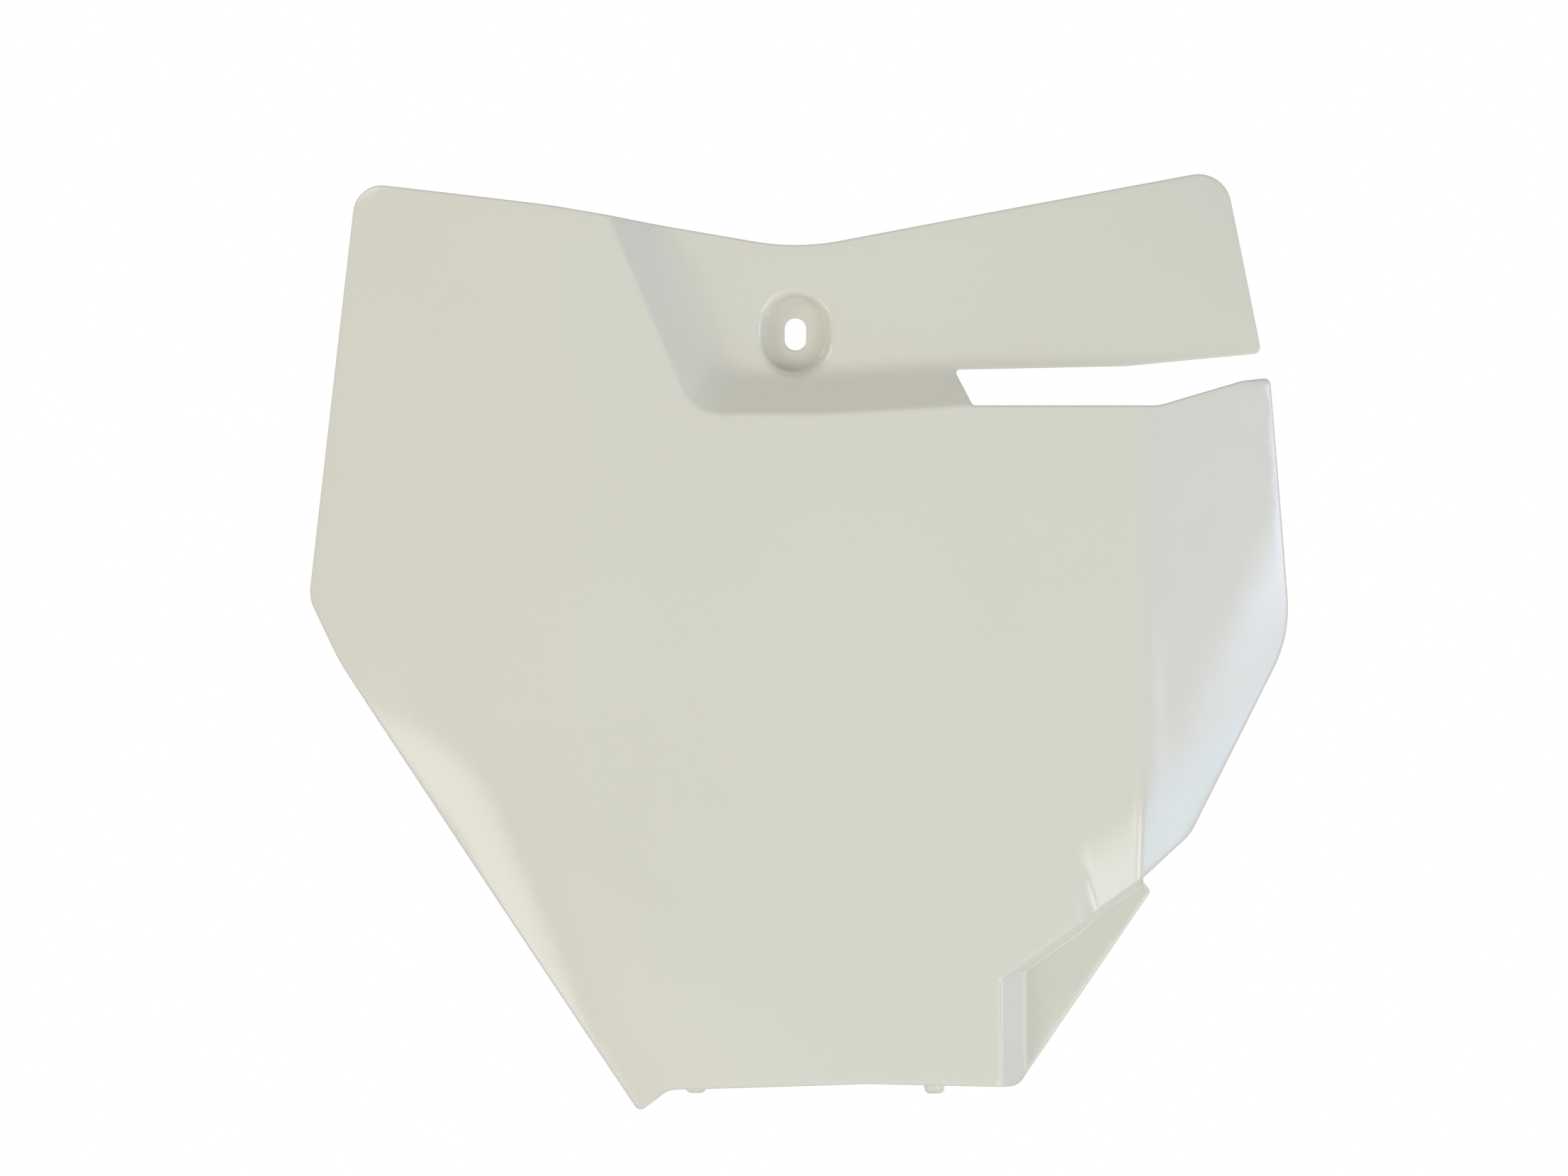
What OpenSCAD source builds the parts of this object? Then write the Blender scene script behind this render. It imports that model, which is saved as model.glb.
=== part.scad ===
// Front number board for an off-road motorcycle, moulded in one piece.
// +Z is up, the face looks along -Y, +X is on the right of someone facing the board.
// The origin is the centre of the screw slot, on the rear seat of its boss.

/* [Wall] */
// Thickness of the moulded wall
wall_t = 2.2; // [1.6:0.1:3]

/* [Outline] */
// Slot to the left shoulder, before its corner is rounded
left_shoulder_x = 119.4; // [116:0.1:124]
// Drop of the left shoulder below the slot
left_shoulder_drop = 64.6; // [58:0.1:70]
// Radius of the left shoulder
left_shoulder_r = 9; // [3:0.5:14]
// Slot to the bend below the left shoulder
left_waist_x = 111.8; // [109:0.1:114]
// Drop of that bend below the slot
left_waist_drop = 80.2; // [77:0.1:86]
// Radius of that bend
left_waist_r = 60; // [20:1:80]
// Slot to the top left corner
left_top_x = 107.6; // [100:0.1:114]
// Height of the top left corner above the slot
left_top_z = 37.2; // [34:0.1:42]
// Radius of the top left corner
left_top_r = 7; // [3:0.5:10]
// Slot to the slight bend in the left part of the top edge
brow_x = 60; // [50:1:75]
// Height of that bend above the slot
brow_z = 31.2; // [29.5:0.1:33]
// Sideways place of the dip in the top edge
dip_x = 0.5; // [-4:0.5:6]
// Height of the dip above the slot
dip_z = 20.8; // [18:0.1:24]
// Radius of the dip
dip_r = 58; // [20:1:80]
// Slot to the upper corner of the arm
arm_top_x = 105.3; // [98:0.1:110]
// Height of the upper corner of the arm above the slot
arm_top_z = 40.7; // [34:0.1:48]
// Radius of the upper corner of the arm
arm_top_r = 8; // [3:0.5:11]
// Slot to the lower tip of the arm
arm_tip_x = 114.1; // [110:0.1:116]
// Drop of the arm's tip below the slot
arm_tip_drop = 4.7; // [3.5:0.1:6]
// Slot to the bend in the arm's lower edge
arm_bend_x = 81; // [70:1:92]
// Drop of that bend below the slot
arm_bend_drop = 7.9; // [7:0.1:8.5]
// Slot to the upper corner of the wing
wing_top_x = 116.7; // [114:0.1:120]
// Drop of the upper corner of the wing below the slot
wing_top_drop = 10.5; // [9:0.1:13]
// Slot to the right shoulder, before its corner is rounded
right_shoulder_x = 121.9; // [118:0.1:128]
// Drop of the right shoulder below the slot
right_shoulder_drop = 73.7; // [62:0.5:84]
// Radius of the right shoulder
right_shoulder_r = 32; // [15:1:40]
// Slot to the lower corner of the wing
wing_low_x = 96.7; // [94:0.1:101]
// Drop of the lower corner of the wing below the slot
wing_low_drop = 122.4; // [118:0.5:126]
// Radius of the lower corner of the wing
wing_low_r = 12; // [4:1:14]
// Drop of the bottom edge below the slot
bottom_drop = 184; // [178:0.5:190]
// Slot to the lower right corner of the bottom edge
bottom_right_x = 54.5; // [52:0.1:57]
// Radius of the lower right corner
bottom_right_r = 4; // [1:0.5:6]
// Slot to the tip of the horn at the lower left
horn_x = 38.2; // [36:0.1:42]
// Reach of the horn below the bottom edge
horn_reach = 6.4; // [4:0.1:8]
// Radius of the horn's tip
horn_r = 1.6; // [0.6:0.1:2]

/* [Hose gap] */
// Slot to the inner end of the gap, at its upper corner
gap_x = 38.8; // [34:0.1:42]
// Drop of the gap's upper edge below the slot
gap_drop = 8.8; // [8.6:0.1:9.6]
// Height of the gap
gap_h = 8.9; // [7:0.1:10]
// How far the gap's inner end leans
gap_lean = 4.4; // [2:0.1:5]
// Slot to the place where the gap's lower edge starts to rise
gap_rise_x = 88.5; // [84:0.5:92]
// Slot to the place where that rise ends
gap_level_x = 109.5; // [106:0.5:111]

/* [Face] */
// Height at which the face stands furthest forward
crown_z = -60; // [-90:5:-30]
// Radius of the face from top to bottom
crown_r = 2400; // [1800:100:4000]
// Slot to the start of the left flank's curve
flank_x = 47; // [40:1:60]
// Radius of the left flank
flank_r = 150; // [120:5:220]
// Slot to the crease of the right wing
crease_x = 84; // [82:0.5:87]
// Angle of the wing behind the face
wing_angle = 32; // [24:1:38]
// Radius of the crease at its upper end
crease_r_top = 13; // [8:1:40]
// Radius of the crease at its lower end
crease_r_low = 4.5; // [3:0.5:12]
// Radius of the wing's roll beyond a leaning line
wing_roll_r = 130; // [90:5:300]
// Slot to the upper end of that line
roll_top_x = 115; // [108:1:120]
// Drop of its upper end below the slot
roll_top_drop = 41; // [30:1:60]
// Slot to its lower end
roll_low_x = 85; // [82:1:90]
// Drop of its lower end below the slot
roll_low_drop = 107; // [95:1:120]
// Width over which the lower left flank falls back, at its upper end
low_flank_top_w = 24; // [16:1:34]
// Width over which it falls back at its lower end
low_flank_w = 56; // [46:1:66]
// Slope of the lower left flank at its edge
low_flank_angle = 17; // [10:1:20]

/* [Stepped arm] */
// Depth of the arm's face behind the main face
arm_depth = 10; // [8:0.5:12]
// Slope of the step between them
step_angle = 43; // [38:1:50]
// Slot to the inner corner of the step
step_x = 25; // [23:0.5:27]
// Drop of the inner corner of the step below the slot
step_drop = 19.9; // [19.4:0.1:21]
// Slot to the place where the step's level edge starts to rise
step_rise_x = 6; // [0:1:14]
// Slot to the upper end of the step
step_top_x = 46.1; // [42:0.5:50]
// Height of the upper end of the step above the slot
step_top_z = 29.3; // [27:0.1:32]
// Blend depth at the foot of the step
foot_blend = 2; // [1:0.1:3]
// Blend depth at the crest of the step
crest_blend = 0.6; // [0.4:0.1:1.6]
// Radius over which the arm's upper right corner falls back
arm_roll_r = 250; // [200:10:600]

/* [Lower recess] */
// Depth of the recess at the lower right
recess_depth = 8.8; // [7:0.2:10]
// Slot to the recess's side wall
recess_x = 50.3; // [49.5:0.1:51]
// Drop of the inner corner of the recess below the slot
recess_drop = 157.5; // [154:0.5:161]
// Slope of the recess's side wall
recess_angle = 56; // [50:1:60]
// Slope of the recess's upper wall
recess_steep = 78; // [72:1:80]
// Slot to the notch where the recess leaves the wing
notch_x = 84.5; // [83:0.1:86]
// Drop of the notch below the slot
notch_drop = 133.2; // [131:0.1:136]
// Size of the notch
notch_size = 3.2; // [2:0.1:4]
// Radius of the soft lip above the recess's upper wall
lip_r = 62; // [50:1:120]
// Width of the lip along most of that wall
lip_w = 3; // [1:0.5:5]
// Slot to the place where the lip widens into a facet
facet_x = 69.6; // [66:0.2:74]
// Width of that facet
facet_w = 21; // [16:0.5:24]
// Radius of that facet
facet_r = 100; // [80:5:160]
// Slope of the facet's left side
ridge_angle = 30; // [20:1:40]

/* [Screw mount] */
// Width of the screw slot
slot_w = 5.3; // [4.5:0.1:6.5]
// Height of the screw slot
slot_h = 7.9; // [7:0.1:11]
// Width of the dish around the slot, at its rim
dish_w = 16.2; // [14:0.1:18]
// Depth of the dish below the arm's face
dish_depth = 4.5; // [3.5:0.1:6]
// Draft of the dish's wall
dish_draft = 8; // [4:1:14]
// Thickness of the dish's floor
land_t = 2.4; // [1.6:0.1:3.2]
// Width of the rear seat
seat_w = 17.4; // [16:0.1:18.5]

/* [Lower lugs] */
// Width of each lug
lug_w = 4.8; // [3:0.1:6]
// Thickness of each lug
lug_t = 3.6; // [2.6:0.1:5]
// Reach of each lug behind the board
lug_reach = 8; // [5:0.5:12]
// How far each lug stands below the bottom edge
lug_proud = 1.5; // [1:0.1:2.4]
// Slot to the left lug
lug_left_x = 24.3; // [20:0.1:28]
// Slot to the right lug
lug_right_x = 33.9; // [28:0.1:40]

/* [Hidden] */

board_colour = [0.83, 0.82, 0.77];
arc_steps = 6;

// Radii of the lesser corners of the outline
corner_small = 0.9;
corner_mid = 1.6;
horn_root_r = 5;
gap_rise_r = 12;
gap_level_r = 15;
arm_bend_r = 40;
bottom_bow_r = 60;
brow_r = 200;

// Rise of the bottom edge's middle, and fall of the wing's top edge before it levels out
bottom_bow = 0.8;
horn_root = 7.2;
wing_fall = 0.9;

face_y = -(dish_depth + land_t);
gap_low = -(gap_drop + gap_h);
gap_in_x = gap_x + gap_lean;
gap_climb = (gap_drop - arm_tip_drop - gap_low - wing_top_drop - wing_fall) / 2;
notch_z = -notch_drop;

// Widths of the step and of its blends, seen from the front
step_slope = tan(step_angle);
foot_w = foot_blend / step_slope;
foot_s = arm_depth / step_slope;
step_end = foot_s + foot_w;
step_corner_blend = 7;
recess_slope = tan(recess_angle);
recess_blend = 0.6;
ridge_blend = 0.4;

// The arm falls back beyond this distance from the slot, in this direction
arm_roll_start = 40;
arm_roll_dir = [0.6, 0.8];
// Run over which the lip starts, how far it goes on past the wall's edge, and the blend of
// the wing's roll
lip_run = 12;
lip_end = 3;
roll_blend = 4;

// The grid runs past the outline by this much
margin = 4;
outline_reach = 70;

// The lowest stretch of the dish's wall, which runs forward under the step
toe_w = 10;
toe_lead = 0.9;
lug_root = 0.4;
lug_z = -bottom_drop + lug_t / 2 - lug_proud;

function lerp(a, b, f) = a + (b - a) * f;
function clamp01(f) = max(0, min(1, f));
function eased(f) = f * f * (3 - 2 * f);
function smooth_min(a, b, k) =
    let (h = max(k - abs(a - b), 0) / k) min(a, b) - h * h * k / 4;
function smooth_max(a, b, k) = -smooth_min(-a, -b, k);
// A drop that runs out softly into a floor that lies at the given room below
function settle(drop, room, k) =
    drop <= 0 || room <= 0 ? 0 : smooth_min(drop, room, min(k, drop, room));

// Points of a closed outline from corners [x, z, radius], each rounded by an arc
function corner_arc(a, b, c) =
    let (
        p = [b[0], b[1]],
        u = [a[0] - b[0], a[1] - b[1]],
        v = [c[0] - b[0], c[1] - b[1]],
        un = u / norm(u),
        vn = v / norm(v),
        half = acos(max(-1, min(1, un * vn))) / 2,
        reach = b[2] / tan(half),
        mid = (un + vn) / norm(un + vn),
        centre = p + mid * b[2] / sin(half),
        from = p + un * reach - centre,
        to = p + vn * reach - centre,
        turn = acos(max(-1, min(1, (from * to) / (b[2] * b[2])))),
        side = sign(from[0] * to[1] - from[1] * to[0])
    )
    [for (i = [0 : arc_steps])
        let (t = side * turn * i / arc_steps)
        centre + [from[0] * cos(t) - from[1] * sin(t), from[0] * sin(t) + from[1] * cos(t)]];
function rounded(corners) =
    let (n = len(corners))
    [for (i = [0 : n - 1])
        each corner_arc(corners[(i + n - 1) % n], corners[i], corners[(i + 1) % n])];

outline = rounded([
    [dip_x, dip_z, dip_r],
    [arm_top_x, arm_top_z, arm_top_r],
    [arm_tip_x, -arm_tip_drop, corner_mid],
    [arm_bend_x, -arm_bend_drop, arm_bend_r],
    [gap_x, -gap_drop, corner_small],
    [gap_in_x, gap_low, corner_small],
    [gap_rise_x, gap_low, gap_rise_r],
    [gap_level_x, -wing_top_drop - wing_fall, gap_level_r],
    [wing_top_x, -wing_top_drop, corner_mid],
    [right_shoulder_x, -right_shoulder_drop, right_shoulder_r],
    [wing_low_x, -wing_low_drop, wing_low_r],
    [notch_x, notch_z, corner_small],
    [notch_x + notch_size * 0.75, notch_z - notch_size, corner_small],
    [bottom_right_x, -bottom_drop, bottom_right_r],
    [lerp(bottom_right_x, -horn_x, 0.4), -bottom_drop + bottom_bow, bottom_bow_r],
    [-horn_x + horn_root, -bottom_drop - bottom_bow, horn_root_r],
    [-horn_x, -bottom_drop - horn_reach, horn_r],
    [-left_waist_x, -left_waist_drop, left_waist_r],
    [-left_shoulder_x, -left_shoulder_drop, left_shoulder_r],
    [-left_top_x, left_top_z, left_top_r],
    [-brow_x, brow_z, brow_r]
]);

// Depths behind the foremost face, at a place [x, z]
function crown(z) = pow(z - crown_z, 2) / (2 * crown_r);
crest_y = face_y - arm_depth - crown(0);
function bend_back(s, r) = s <= 0 ? 0 : r - sqrt(r * r - s * s);
function crease(s, angle, r) =
    let (lead = r * tan(angle / 2))
    s <= -lead ? 0
    : s < -lead + r * sin(angle) ? r - sqrt(r * r - pow(s + lead, 2))
    : s * tan(angle);
function crease_r(z) =
    lerp(crease_r_top, crease_r_low, clamp01((gap_low - z) / (gap_low - notch_z)));

// The lower flank's fall grows over this share of its edge, and beyond the outline it
// stops at this share of its width
flank_start = 0.4;
flank_end = 1.4;
left_slant = [-left_waist_x + horn_x, -left_waist_drop + bottom_drop + horn_reach];
left_out = [-left_slant[1], left_slant[0]] / norm(left_slant);
function low_flank(x, z) =
    let (
        place = [x + left_waist_x, z + left_waist_drop],
        along = -place * left_slant / (left_slant * left_slant),
        width = lerp(low_flank_top_w, low_flank_w, clamp01(along)),
        share = max(0, min(flank_end, 1 + place * left_out / width))
    )
    width / 3 * tan(low_flank_angle) * pow(share, 3) * eased(clamp01(along / flank_start));

// The wing: a fold, and a roll beyond the leaning line
roll_dir = [roll_top_x - roll_low_x, roll_low_drop - roll_top_drop];
roll_out = [roll_dir[1], -roll_dir[0]] / norm(roll_dir);
function wing(x, z) =
    let (
        line = (x - roll_low_x) * roll_out[0] + (z + roll_low_drop) * roll_out[1],
        beyond = smooth_min(line, x - crease_x - 1, roll_blend)
    )
    crease(x - crease_x, wing_angle, crease_r(z)) + bend_back(beyond, wing_roll_r);

// The recess's slanting wall, and the lip that falls back before it
recess_dir = [notch_x - recess_x, notch_z + recess_drop];
recess_in = [recess_dir[1], -recess_dir[0]] / norm(recess_dir);
// Runs of the recess's two walls, and how far outside them their backs lie
side_run = recess_depth / recess_slope;
side_back = wall_t * tan(recess_angle / 2);
upper_tilt = norm(recess_dir) / recess_dir[0];
upper_run = upper_tilt * recess_depth / tan(recess_steep);
upper_back = upper_tilt * wall_t * tan(recess_steep / 2);
function recess_upper(x, z) = (x - recess_x) * recess_in[0] + (z + recess_drop) * recess_in[1];
function lip(x, z) =
    let (
        inside = min(recess_upper(x, z), lip_end),
        ridge = smooth_max((x - facet_x) * tan(ridge_angle), 0, ridge_blend),
        facet = settle(ridge, bend_back(inside + facet_w, facet_r), crest_blend),
        lip = bend_back(inside + lip_w, lip_r)
    )
    max(facet, lip) * clamp01((x - recess_x) / lip_run);

function panel_base(x, z) =
    crown(z) + bend_back(-x - flank_x, flank_r) + low_flank(x, z) + wing(x, z) + lip(x, z);

// Upper edge of the recess
function recess_edge_z(x) = lerp(-recess_drop, notch_z, clamp01((x - recess_x) / recess_dir[0]));
function panel(x, z) =
    let (
        base = panel_base(x, z),
        side = (x - recess_x) * recess_slope,
        upper = recess_upper(x, z) * tan(recess_steep),
        drop = smooth_max(min(side, upper), 0, crest_blend)
    )
    base + settle(drop, crown(z) + recess_depth - base, recess_blend);

// The step follows a leaning line and a nearly level one, blended where they meet
step_dir = [step_top_x - step_x, step_top_z + step_drop];
step_in = [step_dir[1], step_dir[0]] / norm(step_dir);
function step_edge_x(z) =
    -step_x - step_dir[0] * max(0, z + step_drop) / step_dir[1];
function step_edge_z(x) =
    lerp(-step_drop, gap_low, clamp01((x - step_rise_x) / (gap_in_x - step_rise_x)));
function step_s(x, z) =
    let (
        beside = (x + step_x) * step_in[0] + (z + step_drop) * step_in[1],
        above = z - step_edge_z(x)
    )
    smooth_min(beside, above, step_corner_blend);
function arm_floor(x, z) =
    crown(z) + arm_depth + bend_back([x, z] * arm_roll_dir - arm_roll_start, arm_roll_r);
function stepped(x, z) =
    let (
        base = crown(z) + bend_back(-x - flank_x, flank_r) + low_flank(x, z),
        drop = smooth_max(step_s(x, z) * step_slope, 0, crest_blend)
    )
    base + settle(drop, arm_floor(x, z) - base, foot_blend);

// Grid of the face: columns follow the leaning step, rows follow the level one
last_mark = 3;
step_marks = [-1.6, 0, 1.6, foot_s - foot_w, foot_s - foot_w / 2, foot_s,
    foot_s + foot_w / 2, step_end, step_end + last_mark];
split_x = gap_in_x + 0.6;
split_w = 0.8;
left_cols = 12;
mid_cols = 4;
right_marks = [split_x, recess_x - side_back, recess_x, recess_x + side_run - side_back,
    recess_x + side_run, recess_x + side_run + 1.2, lerp(recess_x, facet_x, 0.65),
    for (share = [0, 0.14, 0.28, 0.5, 0.75]) lerp(facet_x, crease_x, share),
    crease_x - 1.5, crease_x,
    for (share = [0.05, 0.12, 0.22, 0.34, 0.46, 0.58, 0.78, 1])
        lerp(crease_x, right_shoulder_x + margin, share)];
first_right = left_cols + len(step_marks) + mid_cols;

function columns(z) =
    let (
        edge = step_edge_x(z),
        last = edge + step_marks[len(step_marks) - 1] / step_in[0]
    )
    [
        for (i = [0 : left_cols - 1])
            lerp(-left_shoulder_x - margin, edge + step_marks[0] / step_in[0], i / left_cols),
        for (m = step_marks) edge + m / step_in[0],
        for (i = [1 : mid_cols]) lerp(last, split_x - split_w, i / mid_cols),
        each right_marks
    ];

function row_rise(x) = gap_climb * clamp01((x - gap_rise_x) / (gap_level_x - gap_rise_x));
// Two rows lie in the gap, and the foot's rows stay above them
gap_rows = [3.4, 6.4];
gap_mark = 3;
foot_row = max(foot_s, gap_rows[1] + 0.8 + foot_w);
level_marks = [-1.6, 0, 1.6, each gap_rows, foot_row - foot_w, foot_row - foot_w / 2, foot_row,
    foot_row + foot_w / 2, foot_row + foot_w, foot_row + foot_w + last_mark];
recess_marks = [-7, -upper_run - 1.2, -upper_run, -0.1, upper_back, upper_back + 1.2];
low_rows = 4;
mid_rows = 12;
top_rows = 4;
first_above = low_rows + len(recess_marks) + mid_rows + gap_mark + 1;

function rows(x) =
    let (
        recess_z = recess_edge_z(x),
        step_z = step_edge_z(x) + row_rise(x),
        low_z = -bottom_drop - horn_reach - margin,
        high_z = arm_top_z + margin,
        last = step_z + level_marks[len(level_marks) - 1]
    )
    [
        for (i = [0 : low_rows - 1]) lerp(low_z, recess_z + recess_marks[0], i / low_rows),
        for (m = recess_marks) recess_z + m,
        for (i = [1 : mid_rows])
            lerp(recess_z + recess_marks[len(recess_marks) - 1], step_z + level_marks[0],
                i / (mid_rows + 1)),
        for (m = level_marks) step_z + m,
        for (i = [1 : top_rows]) lerp(last, high_z, i / top_rows)
    ];

function depth(x, z, i, j) =
    i < first_right ? (j < first_above - gap_mark - 1 ? panel(x, z) : stepped(x, z))
    : j < first_above ? panel(x, z)
    : stepped(x, z);

// The back touches balls of the wall's thickness that are set all along the face
ball = [[0, 0, 1], for (tilt = [22, 42, 60, 76]) for (turn = [0 : 45 : 315])
    [sin(tilt) * cos(turn), sin(tilt) * sin(turn), cos(tilt)]];
function back_depth(x, z, i, j) =
    max([for (b = ball) depth(x + wall_t * b[0], z + wall_t * b[1], i, j) + wall_t * b[2]]);

n_cols = len(columns(0));
n_rows = len(rows(0));
nominal_x = columns(-step_drop);

wall_points = [
    for (j = [0 : n_rows - 1])
        for (i = [0 : n_cols - 1])
            let (
                z = rows(nominal_x[i])[j],
                x = columns(z)[i]
            )
            [x, crest_y + depth(x, z, i, j), z, crest_y + back_depth(x, z, i, j)]
];

function at(i, j) = j * n_cols + i;

// The moulded wall: the face, the back and the rim between them
module skin() {
    n = len(wall_points);
    front = [for (p = wall_points) [p[0], p[1], p[2]]];
    back = [for (p = wall_points) [p[0], p[3], p[2]]];
    rim = [
        for (i = [0 : n_cols - 1]) at(i, 0),
        for (j = [1 : n_rows - 1]) at(n_cols - 1, j),
        for (i = [n_cols - 2 : -1 : 0]) at(i, n_rows - 1),
        for (j = [n_rows - 2 : -1 : 1]) at(0, j)
    ];
    front_faces = [
        for (j = [0 : n_rows - 2])
            for (i = [0 : n_cols - 2])
                each [
                    [at(i, j), at(i, j + 1), at(i + 1, j + 1)],
                    [at(i, j), at(i + 1, j + 1), at(i + 1, j)]
                ]
    ];
    back_faces = [for (f = front_faces) [n + f[0], n + f[2], n + f[1]]];
    rim_faces = [
        for (k = [0 : len(rim) - 1])
            let (a = rim[k], b = rim[(k + 1) % len(rim)])
            each [[a, b, n + b], [a, n + b, n + a]]
    ];
    polyhedron(points = concat(front, back), faces = concat(front_faces, back_faces, rim_faces));
}

// A prism along Y, centred on Y = 0, from a flat shape drawn in X and Z
module along_y(length) {
    rotate([90, 0, 0])
        linear_extrude(height = length, center = true)
            children();
}

module outline_prism() {
    along_y(2 * outline_reach)
        polygon(outline);
}

module oval(width, height) {
    rise = (height - width) / 2;
    square([width, 2 * rise], center = true);
    for (side = [-1, 1])
        translate([0, side * rise])
            circle(d = width, $fn = 64);
}

// Two cones between two depths, set apart as the ends of the slot are
module oval_taper(y0, w0, y1, w1) {
    rise = (slot_h - slot_w) / 2;
    for (side = [-1, 1])
        translate([0, y0, side * rise])
            rotate([-90, 0, 0])
                cylinder(h = y1 - y0, d1 = w0, d2 = w1, $fn = 48);
}

// Behind the dish: its wall runs back to a flat seat, and forward under the step's slope
module dish_boss() {
    outer_w = dish_w + 2 * wall_t;
    hull() {
        oval_taper(face_y + wall_t / 4, outer_w, 0, seat_w);
        translate([0, face_y - toe_lead, (toe_w - outer_w - slot_h + slot_w) / 2])
            rotate([-90, 0, 0])
                cylinder(h = wall_t, d = toe_w, $fn = 32);
    }
}

module dish_cut() {
    rate = 2 * tan(dish_draft);
    lip = 2 * dish_depth;
    hull()
        oval_taper(face_y - lip, dish_w + lip * rate, -land_t, dish_w - dish_depth * rate);
    along_y(4 * land_t)
        oval(slot_w, slot_h);
}

module lug(x) {
    y0 = crest_y + panel(x, -bottom_drop) + lug_root;
    length = wall_t + lug_reach;
    translate([x, y0 + length / 2, lug_z])
        along_y(length)
            oval_bar();
}

module oval_bar() {
    square([lug_w - lug_t, lug_t], center = true);
    for (side = [-1, 1])
        translate([side * (lug_w - lug_t) / 2, 0])
            circle(d = lug_t, $fn = 40);
}

module number_board() {
    color(board_colour)
        difference() {
            union() {
                intersection() {
                    skin();
                    outline_prism();
                }
                dish_boss();
                lug(-lug_left_x);
                lug(lug_right_x);
            }
            dish_cut();
        }
}

number_board();
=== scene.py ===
"""Looks of a moulded front number board for an off-road motorcycle.

The board is one moulded wall. Its face is a height field: a depth worked out from a place
(x, z) on the frontal plane. Its back touches balls of the wall's thickness that are set all
along the face, and the boss of the screw slot is added to it. A rounded edge profile is
carried along the outline and along the slot. Sizes are in millimetres and angles in degrees
until a mesh is made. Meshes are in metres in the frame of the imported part: +Z up, the face
looking along -Y, and the origin at the screw slot on the rear seat of its boss.
"""

import logging
import math
from dataclasses import dataclass
from enum import Enum

import bmesh
import bpy
import numpy as np
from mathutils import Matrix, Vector
from mathutils.geometry import delaunay_2d_cdt


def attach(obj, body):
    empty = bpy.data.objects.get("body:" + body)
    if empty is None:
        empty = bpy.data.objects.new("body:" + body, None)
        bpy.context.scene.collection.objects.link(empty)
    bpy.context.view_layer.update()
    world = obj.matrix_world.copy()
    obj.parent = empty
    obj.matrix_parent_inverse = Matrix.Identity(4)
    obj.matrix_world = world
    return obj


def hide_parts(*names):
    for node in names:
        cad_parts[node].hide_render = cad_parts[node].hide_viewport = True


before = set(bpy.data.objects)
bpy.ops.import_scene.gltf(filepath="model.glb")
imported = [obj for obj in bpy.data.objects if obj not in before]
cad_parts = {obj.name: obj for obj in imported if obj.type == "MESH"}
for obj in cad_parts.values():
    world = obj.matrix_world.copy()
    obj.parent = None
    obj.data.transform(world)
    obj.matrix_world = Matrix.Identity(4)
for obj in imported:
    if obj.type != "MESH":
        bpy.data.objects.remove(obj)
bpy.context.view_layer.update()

LOG = logging.getLogger("number_board")
MM = 0.001
NODE = "number_board"
BODY = "root"
LUG_PLACES = (-24.3, 33.9)
WHITE = (1.0, 1.0, 1.0)

Array = np.ndarray
Pair = tuple[float, float]
Triple = tuple[float, float, float]


class Side(Enum):
    """Which side of the wall a surface is."""

    FACE = "face"
    BACK = "back"


def tangent(degrees: float) -> float:
    """Tangent of an angle in degrees."""
    return math.tan(math.radians(degrees))


def smooth_min(a: Array, b: Array, k: Array | float) -> Array:
    """The smaller of two arrays, blended by a parabola where they differ by less than k.

    Formula: min(a, b) less k / 4 times the square of h, where h is the share of k by which
    the two come closer than k.

    Args:
        a: First array.
        b: Second array.
        k: Width of the blend, a number or an array.

    Returns:
        The blended smaller value.
    """
    k = np.maximum(k, 1e-9)
    h = np.clip(k - np.abs(a - b), 0.0, None) / k
    return np.minimum(a, b) - h * h * k / 4


def smooth_max(a: Array, b: Array, k: Array | float) -> Array:
    """The larger of two arrays, blended as smooth_min blends the smaller."""
    return -smooth_min(-a, -b, k)


def settle(drop: Array, room: Array, k: float) -> Array:
    """A wall's drop that runs out softly into a floor lying at the given room below.

    Formula: the smooth minimum of drop and room, with a blend no wider than either or k,
    and zero where either is zero or less.
    """
    width = np.minimum(k, np.minimum(drop, room))
    return np.where((drop > 0) & (room > 0), smooth_min(drop, room, width), 0.0)


def bend_back(s: Array, r: Array | float) -> Array:
    """Depth of a round bend of radius r that starts at s = 0: r less the root of r² - s²."""
    s = np.clip(s, 0.0, r)
    return r - np.sqrt(r * r - s * s)


def crease(s: Array, angle: float, r: Array) -> Array:
    """Depth of a fold at s = 0: flat, then an arc of radius r, then a slope at the angle.

    Formula: the arc starts at r times the tangent of half the angle before the fold and
    turns through the angle, and the slope passes through the fold's own place.

    Args:
        s: Distance across the fold.
        angle: Angle of the fold in radians.
        r: Radius of the fold at each place.

    Returns:
        The depth.
    """
    lead = r * math.tan(angle / 2)
    arc = np.clip(s + lead, 0.0, r * math.sin(angle))
    return np.where(s < -lead + r * math.sin(angle), r - np.sqrt(r * r - arc * arc),
                    s * math.tan(angle))


def ramp(value: Array, start: float, end: float) -> Array:
    """Share of the way from start to end, between 0 and 1."""
    return np.clip((value - start) / (end - start), 0.0, 1.0)


@dataclass(frozen=True)
class Corner:
    """A corner of an outline on the frontal plane, rounded by an arc.

    Attributes:
        x: Place to the right of the slot, in mm.
        z: Height above the slot, in mm.
        r: Radius of the arc, in mm.
    """

    x: float
    z: float
    r: float

    @property
    def place(self) -> Array:
        """The corner before it is rounded."""
        return np.array([self.x, self.z])


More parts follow.
